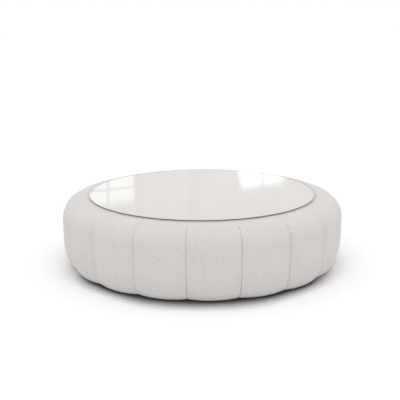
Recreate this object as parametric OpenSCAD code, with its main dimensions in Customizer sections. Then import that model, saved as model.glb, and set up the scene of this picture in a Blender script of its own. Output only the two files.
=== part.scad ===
// Low round coffee table: a drum of padded fabric channels under a loose sheet of glass.
// Millimetres, +Z up. The origin is on the floor under the centre. The front faces -Y.

/* [Whole table] */
// Height from the floor to the top of the glass
table_h = 290; // [270:1:340]
// Radius over the crests of the channels
outer_r = 600; // [580:1:630]
// Clearance between wooden pieces that are put together
fit = 0.2; // [0.1:0.05:0.4]
// Air between two layers that are wrapped round each other
layer_gap = 0.3; // [0.2:0.05:0.5]

/* [Glass] */
// Radius of the glass
glass_r = 485; // [465:1:495]
// Thickness of the glass
glass_t = 5; // [4:0.5:8]
// Width of the polished arris round its edges
arris = 0.8; // [0.4:0.1:1.2]
// Number of clear pads under the glass
bumper_count = 8; // [4:1:12]
// Diameter of a pad
bumper_d = 12; // [8:1:16]
// Thickness of a pad
bumper_t = 1.5; // [1:0.1:2.5]
// Distance from the edge of the glass to the middle of a pad
bumper_inset = 45; // [30:1:70]
// Air between the pads and the cloth they rest on
rest_gap = 0.3; // [0.2:0.05:0.5]

/* [Channels] */
// Number of channels round the table
channel_count = 18; // [16:1:20]
// Angle of the first seam, counted from straight ahead
first_seam = -5.75; // [-10:0.25:10]
// How far a seam is drawn in behind the crests beside it
seam_depth = 12; // [8:0.5:14]
// Air between two channels at their seam
seam_gap = 0.6; // [0.4:0.1:0.8]
// Thickness of the filling in front of the backing cloth, at the crest
filling_t = 53; // [50:1:62]
// Drop from the underside of the glass to the top of the padding
crown_drop = 2; // [1.5:0.5:4]
// Height of the curve from the widest part to the top of the padding
crown_h = 96; // [85:1:110]
// Squareness of that curve, where 2 is an ellipse
crown_power = 2.8; // [2.4:0.1:3.6]
// How far inside the edge of the glass the curve begins
crown_inset = 15; // [5:1:25]
// Height of the curve at the foot of the padding
foot_curve_h = 116; // [90:1:125]
// How far the padding draws in at its foot
foot_curve_in = 43; // [38:1:48]
// Gap between the padding and the floor
floor_gap = 4; // [3:0.5:5]
// Thickness of the flattened ends of a channel, where it is stapled down
tail_t = 2; // [1.5:0.1:2.5]
// Width of the end that is stapled under the base
hem_w = 40; // [25:1:50]
// Width of the end that is clamped under the deck panel
tail_w = 28; // [20:1:40]

/* [Deck panel] */
// How far the edge of the glass stands out past the deck panel
deck_inset = 2; // [1:0.5:5]
// Thickness of the upholstery cloth
cloth_t = 1.5; // [1:0.1:2]
// Thickness of the wadding
pad_t = 6; // [4:0.5:9]
// Thickness of the deck board
deck_board_t = 12; // [11:1:15]
// Width of the cloth turned in under the deck board
turn_in = 28; // [20:1:40]
// Number of dowels under the deck panel
deck_dowel_count = 6; // [4:1:8]
// Angle from straight ahead to the first of those dowels, clear of the rails
deck_dowel_turn = 15; // [12:1:18]
// Distance from the edge of the deck board to a dowel
deck_dowel_inset = 80; // [60:1:95]

/* [Carcass] */
// Thickness of the foam round the drum
foam_t = 12; // [8:1:14]
// Thickness of the backing cloth
backing_t = 1; // [0.5:0.1:1.5]
// Thickness of the bent board round the drum
wall_t = 3; // [2:0.5:4]
// Number of bent boards round the drum
wall_count = 3; // [2:1:4]
// Air between two bent boards
wall_gap = 0.6; // [0.4:0.1:1]
// Thickness of the top board
top_board_t = 15; // [14:1:18]
// Thickness of the base board
base_board_t = 15; // [15:1:18]
// Number of posts round the edge
post_count = 8; // [8:4:8]
// Width of a post
post_w = 45; // [40:1:55]
// Depth of a post
post_t = 35; // [32:1:40]
// Distance from the edge of the boards to a post
post_inset = 8; // [6:1:12]
// Distance from the middle of the table to an inner post
inner_post_r = 200; // [160:1:240]
// Height of the crossing rails
rail_h = 45; // [40:1:60]
// Width of the crossing rails
rail_w = 35; // [32:1:40]

/* [Dowels and screws] */
// Diameter of a dowel
dowel_d = 10; // [8:1:12]
// Depth of a dowel hole
dowel_bite = 10; // [8:0.5:10]
// Chamfer at the ends of a dowel
dowel_chamfer = 1; // [0.5:0.1:1.5]
// Diameter of a wood screw
screw_d = 5; // [4:0.5:6]
// Diameter of its countersunk head
screw_head_d = 9.6; // [9:0.1:11]
// Length of a wood screw
screw_len = 50; // [40:5:60]
// Length of the point of a screw
screw_point = 6; // [4:0.5:8]

/* [Feet] */
// Number of feet
foot_count = 8; // [6:1:8]
// Height of a foot
foot_h = 8; // [7:0.5:9]
// Diameter of a foot
foot_d = 38; // [30:1:45]
// Radius of the rounded rim on which a foot glides
foot_round = 3; // [2:0.5:4]
// Distance from the ends stapled under the base in to the middle of a foot
foot_inset = 52; // [40:1:70]
// Diameter of a foot screw
foot_screw_d = 4; // [3.5:0.5:4.5]
// Diameter of the head of a foot screw
foot_screw_head_d = 8; // [7.5:0.5:9]
// Length of a foot screw
foot_screw_len = 18; // [15:1:19]
// Depth of the recess over the head of a foot screw
foot_recess = 2; // [1.5:0.5:2.5]
// Thickness of the dark cloth under the base
dust_t = 0.8; // [0.5:0.1:1]
// Overlap of the dark cloth over the ends of the channels
dust_overlap = 15; // [10:1:20]

/* [Hidden] */
CHANNELS = [for (k = [1:channel_count]) str("channel_", k < 10 ? "0" : "", k)];
POSTS = [for (k = [1:post_count]) str("post_", k)];
INNER_POSTS = [for (k = [1:4]) str("inner_post_", k)];
WALLS = [for (k = [1:wall_count]) str("wall_panel_", k)];
FEET = [for (k = [1:foot_count]) str("foot_", k)];

// Smoothness of round pieces and number of steps along a padded curve
$fn = 180;
curve_steps = 12;

// Colours
cloth_colour = [0.85, 0.83, 0.81];
glass_colour = [0.80, 0.84, 0.84, 0.35];
ply_colour = [0.80, 0.68, 0.50];
timber_colour = [0.86, 0.73, 0.53];
board_colour = [0.55, 0.42, 0.30];
foam_colour = [0.93, 0.89, 0.72];
steel_colour = [0.75, 0.74, 0.70];
dark_colour = [0.13, 0.13, 0.14];

// Heights, from the glass down to the top board
glass_z = table_h - glass_t;
deck_top = glass_z - bumper_t - rest_gap;
pad_top = deck_top - cloth_t;
deck_board_top = pad_top - pad_t;
deck_board_z = deck_board_top - deck_board_t;
deck_under = deck_board_z - cloth_t;
top_board_top = deck_under - tail_t;
top_board_z = top_board_top - top_board_t;
crown_top = glass_z - crown_drop;

// Heights, from the floor up to the base board
base_z = foot_h + dust_t;
base_top = base_z + base_board_t;
hem_z = base_z - tail_t;

// Radii, from the crests in to the boards
backing_out = outer_r - filling_t;
backing_in = backing_out - backing_t;
foam_out = backing_in - layer_gap;
foam_in = foam_out - foam_t;
wall_out = foam_in - layer_gap;
wall_in = wall_out - wall_t;
board_r = wall_in - layer_gap;
deck_r = glass_r - deck_inset;
cover_in = deck_r - cloth_t;
deck_board_r = cover_in - layer_gap;
crown_r = glass_r - crown_inset;
hem_r = backing_out - hem_w;
post_r = board_r - post_inset - post_t / 2;
foot_circle_r = hem_r - foot_inset;
deck_dowel_r = deck_board_r - deck_dowel_inset;
bumper_r = glass_r - bumper_inset;

// Plan of one channel: an arc through its crest and its two seams, about an axis of its own
half_pitch = 180 / channel_count;
seam_r = outer_r - seam_depth;
half_chord = seam_r * sin(half_pitch);
bulge = outer_r - seam_r * cos(half_pitch);
arc_r = (half_chord * half_chord + bulge * bulge) / (2 * bulge);
arc_centre = outer_r - arc_r;

// Section of the padding: foot curve, upright side and crown, as radius and height
foot_curve = [for (i = [0:curve_steps]) let (a = 90 * i / curve_steps)
  [outer_r - foot_curve_in * (1 - sin(a)), floor_gap + foot_curve_h * (1 - cos(a))]];
crown_curve = [for (i = [0:curve_steps]) let (a = 90 * i / curve_steps)
  [crown_r + (outer_r - crown_r) * pow(cos(a), 2 / crown_power),
   crown_top - crown_h * (1 - pow(sin(a), 2 / crown_power))]];
section = concat(foot_curve, crown_curve);

// Turns its children to an angle counted from straight ahead, with their +X pointing outwards
module face_out(angle) {
  rotate([0, 0, angle - 90]) children();
}

// Copies of its children, evenly spaced on a circle from straight ahead
module on_circle(count, radius) {
  for (k = [0:count - 1]) face_out(k * 360 / count) translate([radius, 0, 0]) children();
}

module at_deck_dowels() {
  rotate([0, 0, deck_dowel_turn]) on_circle(deck_dowel_count, deck_dowel_r) children();
}

module disc(radius, thickness) {
  cylinder(r = radius, h = thickness);
}

module ring(outside, inside, height) {
  difference() {
    cylinder(r = outside, h = height);
    translate([0, 0, -1]) cylinder(r = inside, h = height + 2);
  }
}

// A countersunk wood screw with the top of its head at z = 0, pointing down
module wood_screw(diameter, head_d, length, slack = 0) {
  head_h = (head_d - diameter) / 2;
  r = diameter / 2 + slack;
  rotate_extrude($fn = 24) polygon([
    [0, 0], [head_d / 2 + slack, 0], [r, -head_h], [r, -length + screw_point],
    [r / 4, -length - slack], [0, -length - slack]]);
}

module dowel(length) {
  r = dowel_d / 2;
  rotate_extrude($fn = 32) polygon([
    [0, 0], [r - dowel_chamfer, 0], [r, dowel_chamfer], [r, length - dowel_chamfer],
    [r - dowel_chamfer, length], [0, length]]);
}

module dowel_hole(depth) {
  cylinder(d = dowel_d + fit, h = depth, $fn = 32);
}

// Loose sheet of glass with a polished arris at both edges
module glass_top() {
  color(glass_colour) translate([0, 0, glass_z]) rotate_extrude() polygon([
    [0, 0], [glass_r - arris, 0], [glass_r, arris], [glass_r, glass_t - arris],
    [glass_r - arris, glass_t], [0, glass_t]]);
}

// Clear pads stuck to the underside of the glass, each with a bevelled rim
module glass_bumpers() {
  bevel = bumper_t / 3;
  color([0.9, 0.92, 0.92]) on_circle(bumper_count, bumper_r) translate([0, 0, glass_z - bumper_t])
    rotate_extrude($fn = 32) polygon([
      [0, 0], [bumper_d / 2 - bevel, 0], [bumper_d / 2, bevel], [bumper_d / 2, bumper_t],
      [0, bumper_t]]);
}

// Cloth over the deck panel: flat top, rounded edge, straight skirt and a turn-in underneath
module deck_cover() {
  out = pad_t + cloth_t;
  edge = function (r) [for (i = [0:curve_steps]) let (a = 90 * i / curve_steps)
    [deck_r - out + r * sin(a), deck_top - out + r * cos(a)]];
  color(cloth_colour) rotate_extrude() polygon(concat(
    [[0, deck_top]], edge(out),
    [[deck_r, deck_under], [deck_r - turn_in, deck_under],
     [deck_r - turn_in, deck_board_z], [cover_in, deck_board_z]],
    [for (i = [curve_steps:-1:0]) edge(pad_t)[i]],
    [[0, pad_top]]));
}

// Wadding over the deck board, rounded at its edge
module deck_pad() {
  color("white") rotate_extrude() polygon(concat(
    [[0, deck_board_top]], [[0, pad_top]],
    [for (i = [0:curve_steps]) let (a = 90 * i / curve_steps)
      [deck_board_r - pad_t + pad_t * sin(a), deck_board_top + pad_t * cos(a)]]));
}

module deck_board() {
  color(ply_colour) difference() {
    translate([0, 0, deck_board_z]) disc(deck_board_r, deck_board_t);
    at_deck_dowels() translate([0, 0, deck_board_z - 1]) dowel_hole(dowel_bite + 1);
  }
}

module deck_dowels() {
  bottom = top_board_top - dowel_bite + fit;
  color(timber_colour) at_deck_dowels() translate([0, 0, bottom])
    dowel(deck_board_z + dowel_bite - fit - bottom);
}

// Heads of the top screws are flush with the top board
module at_top_screws() {
  translate([0, 0, top_board_top]) {
    on_circle(post_count, post_r) children();
    on_circle(4, (post_r + inner_post_r) / 2) children();
  }
}

module at_base_screws() {
  translate([0, 0, base_z]) mirror([0, 0, 1]) {
    on_circle(post_count, post_r) children();
    on_circle(4, inner_post_r) children();
  }
}

module at_foot_screws() {
  translate([0, 0, foot_recess]) mirror([0, 0, 1]) on_circle(foot_count, foot_circle_r) children();
}

module top_holes() {
  at_top_screws() wood_screw(screw_d, screw_head_d, screw_len, fit / 2);
}

module base_holes() {
  at_base_screws() wood_screw(screw_d, screw_head_d, screw_len, fit / 2);
}

module top_screws() {
  color(steel_colour) at_top_screws() wood_screw(screw_d, screw_head_d, screw_len);
}

module base_screws() {
  color(steel_colour) at_base_screws() wood_screw(screw_d, screw_head_d, screw_len);
}

module foot_screws() {
  color(steel_colour) at_foot_screws() wood_screw(foot_screw_d, foot_screw_head_d, foot_screw_len);
}

module foot_screw_holes() {
  at_foot_screws() wood_screw(foot_screw_d, foot_screw_head_d, foot_screw_len, fit / 2);
}

module top_board() {
  color(ply_colour) difference() {
    translate([0, 0, top_board_z]) disc(board_r, top_board_t);
    at_deck_dowels() translate([0, 0, top_board_top - dowel_bite]) dowel_hole(dowel_bite + 1);
    top_holes();
  }
}

module base_board() {
  color(ply_colour) difference() {
    translate([0, 0, base_z]) disc(board_r, base_board_t);
    base_holes();
    foot_screw_holes();
  }
}

// The four dowels that stand in the inner posts, and the four that lie in the ends of the rails
module at_frame_dowels(from) {
  on_circle(4, inner_post_r) translate([0, 0, top_board_z - rail_h - dowel_bite + from]) children();
  on_circle(4, post_r - post_t / 2 - dowel_bite + from)
    translate([0, 0, top_board_z - rail_h / 2]) rotate([0, 90, 0]) children();
}

module frame_dowels() {
  color(timber_colour) at_frame_dowels(fit) dowel(2 * dowel_bite - 2 * fit);
}

module frame_dowel_holes() {
  at_frame_dowels(0) dowel_hole(2 * dowel_bite);
}

// A rail from post to post, with a notch of half its height where the other one crosses it
module rail(turn, notch_z) {
  half = post_r - post_t / 2 - fit;
  color(timber_colour) difference() {
    rotate([0, 0, turn]) difference() {
      translate([-half, -rail_w / 2, top_board_z - rail_h]) cube([2 * half, rail_w, rail_h]);
      translate([-rail_w / 2 - fit, -rail_w, notch_z]) cube([rail_w + 2 * fit, 2 * rail_w, rail_h]);
    }
    frame_dowel_holes();
    top_holes();
  }
}

module rail_x() {
  rail(0, top_board_z - rail_h / 2);
}

module rail_y() {
  rail(90, top_board_z - 3 * rail_h / 2 + fit);
}

module post(k) {
  color(timber_colour) difference() {
    face_out((k - 1) * 360 / post_count) translate([post_r - post_t / 2, -post_w / 2, base_top])
      cube([post_t, post_w, top_board_z - base_top]);
    frame_dowel_holes();
    top_holes();
    base_holes();
  }
}

module inner_post(k) {
  color(timber_colour) difference() {
    face_out((k - 1) * 90) translate([inner_post_r - rail_w / 2, -rail_w / 2, base_top])
      cube([rail_w, rail_w, top_board_z - rail_h - base_top]);
    frame_dowel_holes();
    base_holes();
  }
}

// One of the thin bent boards round the drum
module wall_panel(k) {
  gap_angle = wall_gap / wall_out * 180 / PI;
  span = 360 / wall_count - gap_angle;
  color(board_colour) rotate([0, 0, (k - 1) * 360 / wall_count + gap_angle / 2]) translate([0, 0, base_z])
    rotate_extrude(angle = span) translate([wall_in, 0]) square([wall_t, top_board_top - base_z]);
}

module foam_wrap() {
  color(foam_colour) translate([0, 0, base_z]) ring(foam_out, foam_in, top_board_top - base_z);
}

module backing_cloth() {
  color("white") translate([0, 0, base_z]) ring(backing_out, backing_in, top_board_top - base_z);
}

// The space inside the ring of channels: carcass, deck panel and the ends left for stapling
module core() {
  drum_r = backing_out + layer_gap;
  deck_space_r = deck_r + layer_gap;
  rotate_extrude() polygon([
    [0, -1], [hem_r, -1], [hem_r, base_z], [drum_r, base_z], [drum_r, top_board_top],
    [deck_r - tail_w, top_board_top], [deck_r - tail_w, deck_under], [deck_space_r, deck_under],
    [deck_space_r, table_h], [0, table_h]]);
}

// One padded channel: the section turned about its own axis, cut at its two seams
module channel(k) {
  tip = seam_gap / 2 / sin(half_pitch);
  reach = 2 * outer_r;
  spread = (reach - tip) * tan(half_pitch);
  heel = outer_r - foot_curve_in - (hem_z - floor_gap);
  color(cloth_colour) face_out(first_seam + (k - 0.5) * 2 * half_pitch) difference() {
    intersection() {
      translate([arc_centre, 0, 0]) rotate_extrude() polygon(concat(
        [[0, hem_z], [heel - arc_centre, hem_z]],
        [for (p = section) [p[0] - arc_centre, p[1]]],
        [[0, crown_top]]));
      linear_extrude(table_h) polygon([[tip, 0], [reach, -spread], [reach, spread]]);
    }
    core();
  }
}

// Dark cloth under the base, stepped down over the stapled ends of the channels
module dust_cover() {
  step = hem_r - fit;
  color(dark_colour) difference() {
    rotate_extrude() polygon([
      [0, base_z], [step, base_z], [step, hem_z], [hem_r + dust_overlap, hem_z],
      [hem_r + dust_overlap, hem_z - dust_t], [step - dust_t, hem_z - dust_t],
      [step - dust_t, base_z - dust_t], [0, base_z - dust_t]]);
    foot_screw_holes();
  }
}

// A plastic glide with a rounded rim and a recess for its screw
module foot(k) {
  rim = foot_d / 2 - foot_round;
  color(dark_colour) difference() {
    face_out((k - 1) * 360 / foot_count) translate([foot_circle_r, 0, 0]) difference() {
      rotate_extrude($fn = 64) polygon(concat(
        [[0, 0]],
        [for (i = [0:6]) let (a = 15 * i)
          [rim + foot_round * sin(a), foot_round * (1 - cos(a))]],
        [[foot_d / 2, foot_h], [0, foot_h]]));
      translate([0, 0, -1]) cylinder(d = foot_screw_head_d + 2 * fit, h = foot_recess + 1, $fn = 32);
    }
    foot_screw_holes();
  }
}

glass_top();
glass_bumpers();
deck_cover();
deck_pad();
deck_board();
deck_dowels();
top_board();
rail_x();
rail_y();
frame_dowels();
top_screws();
foam_wrap();
backing_cloth();
base_board();
base_screws();
dust_cover();
foot_screws();
for (k = [1:channel_count]) channel(k);
for (k = [1:post_count]) post(k);
for (k = [1:4]) inner_post(k);
for (k = [1:wall_count]) wall_panel(k);
for (k = [1:foot_count]) foot(k);
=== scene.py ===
import math
import bmesh
import bpy
import numpy as np
from mathutils import Matrix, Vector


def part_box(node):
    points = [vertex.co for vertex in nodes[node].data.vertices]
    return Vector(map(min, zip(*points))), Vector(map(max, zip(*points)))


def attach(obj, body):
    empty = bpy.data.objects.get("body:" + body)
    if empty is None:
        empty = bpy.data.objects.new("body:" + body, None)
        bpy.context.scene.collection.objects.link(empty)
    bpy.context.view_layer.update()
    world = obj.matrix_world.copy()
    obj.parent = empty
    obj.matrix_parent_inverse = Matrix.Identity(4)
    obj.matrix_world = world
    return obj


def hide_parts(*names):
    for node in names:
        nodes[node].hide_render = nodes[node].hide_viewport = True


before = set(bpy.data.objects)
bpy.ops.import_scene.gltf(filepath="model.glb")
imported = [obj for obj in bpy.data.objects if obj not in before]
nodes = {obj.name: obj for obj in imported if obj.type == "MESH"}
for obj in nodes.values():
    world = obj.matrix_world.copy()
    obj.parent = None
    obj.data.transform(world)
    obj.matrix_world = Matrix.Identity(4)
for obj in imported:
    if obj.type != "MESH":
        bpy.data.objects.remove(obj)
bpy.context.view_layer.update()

print("frame loaded:", len(nodes), "nodes")


# Meshes

def addObject(name, data):
    # A new object in the scene, at the origin and unturned.
    made = bpy.data.objects.new(name, data)
    bpy.context.scene.collection.objects.link(made)
    return made


def joinGrid(name, points, uv=None, closeCols=False, closeRows=False, capRows=False):
    # A grid of points (rows, columns, 3) becomes a smooth mesh of quads. A closed direction wraps round,
    # and capRows closes the first and the last row with one face each.
    rows, cols = points.shape[:2]
    i, j = np.meshgrid(np.arange(rows - (not closeRows)), np.arange(cols - (not closeCols)), indexing="ij")
    i, j = i.ravel(), j.ravel()
    corners = [(i, j), (i, j + 1), (i + 1, j + 1), (i + 1, j)]
    loops = np.stack([(a % rows) * cols + b % cols for a, b in corners], 1).ravel()
    totals = np.full(len(i), 4)
    if capRows:
        ring = np.arange(cols)
        loops = np.concatenate([loops, ring[::-1], (rows - 1) * cols + ring])
        totals = np.concatenate([totals, [cols, cols]])
    mesh = bpy.data.meshes.new(name)
    mesh.vertices.add(rows * cols)
    mesh.vertices.foreach_set("co", points.reshape(-1).astype(np.float32))
    mesh.loops.add(len(loops))
    mesh.loops.foreach_set("vertex_index", loops.astype(np.int32))
    mesh.polygons.add(len(totals))
    mesh.polygons.foreach_set("loop_start", (np.cumsum(totals) - totals).astype(np.int32))
    mesh.polygons.foreach_set("use_smooth", np.ones(len(totals), bool))
    mesh.update(calc_edges=True)
    if uv is not None:
        flat = np.stack([uv[a, b] for a, b in corners], 1).reshape(-1, 2)
        caps = uv[:rows, :cols].reshape(-1, 2)[loops[len(flat):]]
        layer = mesh.uv_layers.new(name="clothMap")
        layer.data.foreach_set("uv", np.concatenate([flat, caps]).ravel().astype(np.float32))
    return addObject(name, mesh)


def tidyMesh(piece):
    # Points within a micrometre become one, which closes poles, and every face turns outwards.
    work = bmesh.new()
    work.from_mesh(piece.data)
    bmesh.ops.remove_doubles(work, verts=work.verts, dist=1e-6)
    bmesh.ops.recalc_face_normals(work, faces=work.faces)
    work.to_mesh(piece.data)
    work.free()
    return piece


def runOf(line):
    # Distance along a line of points from its first point.
    return np.concatenate([[0], np.cumsum(np.linalg.norm(np.diff(line, axis=0), axis=1))])


def evenly(line, count):
    # The same line with count points at equal steps along it.
    run = runOf(line)
    steps = np.linspace(0, run[-1], count)
    return np.stack([np.interp(steps, run, line[:, k]) for k in range(line.shape[1])], 1)


def bend(centre, radii, start, end, count):
    # Part of an ellipse in the plane of radius and height. Angles are in degrees, from outwards towards up.
    turn = np.radians(np.linspace(start, end, count))
    return np.stack([centre[0] + radii[0] * np.cos(turn), centre[1] + radii[1] * np.sin(turn)], 1)


def spin(name, profile, count=240, middle=(0, 0), closed=False):
    # A profile of (radius, height) carried round the upright axis through middle. The map runs round the
    # outermost radius and along the profile, in metres.
    turn = np.linspace(0, 2 * math.pi, count + 1)
    radius, height = profile[:, :1], profile[:, 1:]
    x, y = middle[0] + radius * np.sin(turn), middle[1] - radius * np.cos(turn)
    points = np.stack([x, y, height + 0 * turn], -1)
    uv = np.stack(np.broadcast_arrays(turn * profile[:, 0].max(), runOf(profile)[:, None]), -1)
    piece = joinGrid(name, points[:, :-1], uv=np.concatenate([uv, uv[:1]]), closeCols=True, closeRows=closed)
    return tidyMesh(piece)


def joinPieces(name, parts):
    # Several meshes become one piece under a new name.
    work = bmesh.new()
    for part in parts:
        work.from_mesh(part.data)
        bpy.data.objects.remove(part)
    mesh = bpy.data.meshes.new(name)
    work.to_mesh(mesh)
    work.free()
    return addObject(name, mesh)


def dress(piece, finish, body, slotName, *replaced):
    # A finished piece gets its material and its body, and the nodes that it stands for are hidden; its slot
    # name is not used.
    piece.data.materials.clear()
    piece.data.materials.append(finish)
    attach(piece, body)
    if replaced:
        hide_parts(*replaced)
    return piece


# Shader maths

class Wire:
    # A node's output. Sums, products and powers of wires and numbers add Math nodes.
    def __init__(self, finish, socket):
        self.finish, self.socket = finish, socket

    def __add__(self, other):
        return self.finish.maths("ADD", self, other)

    def __radd__(self, other):
        return self.finish.maths("ADD", other, self)

    def __sub__(self, other):
        return self.finish.maths("SUBTRACT", self, other)

    def __rsub__(self, other):
        return self.finish.maths("SUBTRACT", other, self)

    def __mul__(self, other):
        return self.finish.maths("MULTIPLY", self, other)

    def __rmul__(self, other):
        return self.finish.maths("MULTIPLY", other, self)

    def __truediv__(self, other):
        return self.finish.maths("DIVIDE", self, other)

    def __rtruediv__(self, other):
        return self.finish.maths("DIVIDE", other, self)

    def __pow__(self, other):
        return self.finish.maths("POWER", self, other)

    def __gt__(self, other):
        return self.finish.maths("GREATER_THAN", self, other)

    def __abs__(self):
        return self.finish.maths("ABSOLUTE", self)


class Finish:
    # A material or a world, and the nodes in it.
    def __init__(self, owner):
        self.owner = owner
        owner.use_nodes = True
        self.tree = owner.node_tree
        self.tree.nodes.clear()

    def node(self, kind, settings=None, sockets=None, output=0):
        # One node of that type: settings first, then values or wires for sockets; gives an output's wire.
        made = self.tree.nodes.new(kind)
        for key, value in (settings or {}).items():
            setattr(made, key, value)
        for key, value in (sockets or {}).items():
            if isinstance(value, Wire):
                self.tree.links.new(value.socket, made.inputs[key])
            else:
                made.inputs[key].default_value = value
        return Wire(self, made.outputs[output]) if len(made.outputs) else made

    def maths(self, operation, *values):
        return self.node("ShaderNodeMath", {"operation": operation}, dict(enumerate(values)))

    def split(self, vector):
        made = self.node("ShaderNodeSeparateXYZ", None, {0: vector})
        return [Wire(self, socket) for socket in made.socket.node.outputs]

    def place(self, name="Object"):
        made = self.node("ShaderNodeTexCoord")
        return Wire(self, made.socket.node.outputs[name])

    def rays(self, *names):
        # One for the named kinds of rays and zero for all others.
        outputs = self.node("ShaderNodeLightPath").socket.node.outputs
        found = Wire(self, outputs[f"Is {names[0]} Ray"])
        for name in names[1:]:
            found = self.maths("MAXIMUM", found, Wire(self, outputs[f"Is {name} Ray"]))
        return found

    def noise(self, vector, scale, detail=2.0, rough=0.5):
        return self.node("ShaderNodeTexNoise", None,
                         {"Vector": vector, "Scale": scale, "Detail": detail, "Roughness": rough})

    def cells(self, vector, scale):
        # The distance from the nearest of many scattered points.
        return self.node("ShaderNodeTexVoronoi", None, {"Vector": vector, "Scale": scale})

    def stretch(self, vector, factors):
        return self.node("ShaderNodeVectorMath", {"operation": "MULTIPLY"}, {0: vector, 1: factors})

    def remap(self, value, low, high, newLow=0.0, newHigh=1.0):
        return self.node("ShaderNodeMapRange", None, {0: value, 1: low, 2: high, 3: newLow, 4: newHigh})

    def spread(self, noise, newLow=0.0, newHigh=1.0):
        # The range in which most of a noise lies, carried to another range.
        return self.remap(noise, 0.3, 0.7, newLow, newHigh)

    def grey(self, value):
        return self.node("ShaderNodeCombineXYZ", None, {0: value, 1: value, 2: value})

    def blendColours(self, factor, first, second, mode="MIX"):
        def four(colour):
            return colour if isinstance(colour, Wire) else (*colour, 1.0)
        return self.node("ShaderNodeMix", {"data_type": "RGBA", "blend_type": mode},
                         {0: factor, 6: four(first), 7: four(second)}, output=2)

    def shaded(self, colour, shade):
        # A colour times a grey.
        return self.blendColours(1.0, colour, self.grey(shade), "MULTIPLY")

    def bump(self, height, distance, strength=1.0):
        return self.node("ShaderNodeBump", None,
                         {"Height": height, "Distance": distance, "Strength": strength})

    def principled(self, **values):
        return self.node("ShaderNodeBsdfPrincipled", None,
                         {key.replace("_", " "): value for key, value in values.items()})

    def output(self, shader):
        kind = "World" if isinstance(self.owner, bpy.types.World) else "Material"
        self.node("ShaderNodeOutput" + kind, None, {0: shader})
        return self.owner

    def surface(self, **values):
        return self.output(self.principled(**values))


def newFinish(name):
    return Finish(bpy.data.materials.new(name))


# Cloth: an off-white basket weave with slubs, over padding. The scale of a noise is in waves per metre.

weaveForm = dict(
    wander=0.9,             # how far the yarns stray, in pitches
    wanderScale=0.08,       # strays in one pitch
    roundness=0.6,          # power of the sine across a yarn: the lower it is, the squarer the yarn
    crossing=0.35,          # share of a yarn's way on which it rises over or dives under another
    dip=0.55,               # how much lower a yarn lies under another
    heights=(0.4, 1.6),     # between the yarns and on the highest crossings
)
clothLook = dict(
    colour=(0.775, 0.737, 0.713),
    # painted shade: the grey is darker between the yarns and a little lighter on their tops
    paintedYarnShade=(0.90, 1.04),    # between the yarns and on them
    yarn=0.0022,            # distance between two yarns
    yarnHeight=0.00024,
    slubShare=0.176,        # how much lighter or darker a thick yarn is
    slubScales=(300.0, 280.0),
    slubDraw=0.34,          # how far a noise is drawn out along a yarn to make slubs: the lower, the longer
    fleckShare=0.30,
    fleckScale=420.0,
    cloudShare=0.03,
    cloudScale=13.0,
    fluff=(0.6, 0.7),       # how much flecks and slubs stand out, beside the weave
    roughness=0.93,
    sheen=0.10,
)


def weaveOf(finish, place, yarn):
    # Two crossing sets of round yarns: each set's height is a power of the size of a sine across it, and the
    # squares of a chequer of the same pitch say which set lies on top.
    form = weaveForm
    wander = finish.node("ShaderNodeTexNoise", None,
                         {"Vector": place, "Scale": form["wanderScale"] / yarn, "Detail": 1.0}, output=1)
    shift = finish.node("ShaderNodeVectorMath", {"operation": "MULTIPLY_ADD"},
                        {0: wander, 1: (form["wander"] * yarn,) * 3, 2: place})
    u, v, _ = finish.split(shift)
    turnU, turnV = u * (math.pi / yarn), v * (math.pi / yarn)
    across = abs(finish.maths("SINE", turnU)) ** form["roundness"]
    along = abs(finish.maths("SINE", turnV)) ** form["roundness"]
    over = finish.maths("SINE", turnU + math.pi / 2) * finish.maths("SINE", turnV + math.pi / 2)
    top = finish.remap(over, -form["crossing"], form["crossing"])
    height = across * ((1.0 - form["dip"]) + form["dip"] * top) + along * (1.0 - form["dip"] * top)
    return height, shift


def makeCloth():
    # The colour times a grey, which is a painted shade from the weave's height, darker between the yarns and
    # lighter on them, plus slubs, flecks and slow clouds of noise.
    look = clothLook
    finish = newFinish("clothWeave")
    place = finish.place("UV")
    height, shift = weaveOf(finish, place, look["yarn"])
    draw, (warpScale, weftScale) = look["slubDraw"], look["slubScales"]
    warp = finish.noise(finish.stretch(shift, (1.0, draw, 1.0)), warpScale, 1.0)
    weft = finish.noise(finish.stretch(shift, (draw, 1.0, 1.0)), weftScale, 1.0)
    fleck = finish.noise(place, look["fleckScale"], 3.0, 0.6)
    cloud = finish.noise(place, look["cloudScale"], 3.0)
    tone = (warp + weft - 1.0) * look["slubShare"] + (fleck - 0.5) * look["fleckShare"]
    tone = tone + (cloud - 0.5) * look["cloudShare"]
    # painted shade between the yarns from the weave's height, plus the yarns' own slubs, flecks and clouds
    shade = finish.remap(height, *weaveForm["heights"], *look["paintedYarnShade"]) + tone
    fleckRise, slubRise = look["fluff"]
    fluff = (height + fleck * fleckRise) + (warp + weft) * slubRise
    return finish.surface(Base_Color=finish.shaded(look["colour"], shade), Roughness=look["roughness"],
                          Normal=finish.bump(fluff, look["yarnHeight"], 0.7),
                          Sheen_Weight=look["sheen"], Sheen_Roughness=0.5, Specular_IOR_Level=0.25)


# Glass: clear, with a dark ground edge, and clear pads

glassLook = dict(
    tint=(0.985, 0.992, 0.990),
    shadowTint=(0.95, 0.955, 0.955),   # what it leaves of the light that falls through it
    index=1.5,
    smear=0.012,            # roughness where hands have wiped it
    edgeColour=(0.185, 0.168, 0.157),
    edgeRoughness=(0.16, 0.30),
    padColour=(0.90, 0.90, 0.88),
    padRoughness=(0.25, 0.45),
    padCover=(0.06, 0.12),
    padIndex=1.41,
)


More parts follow.
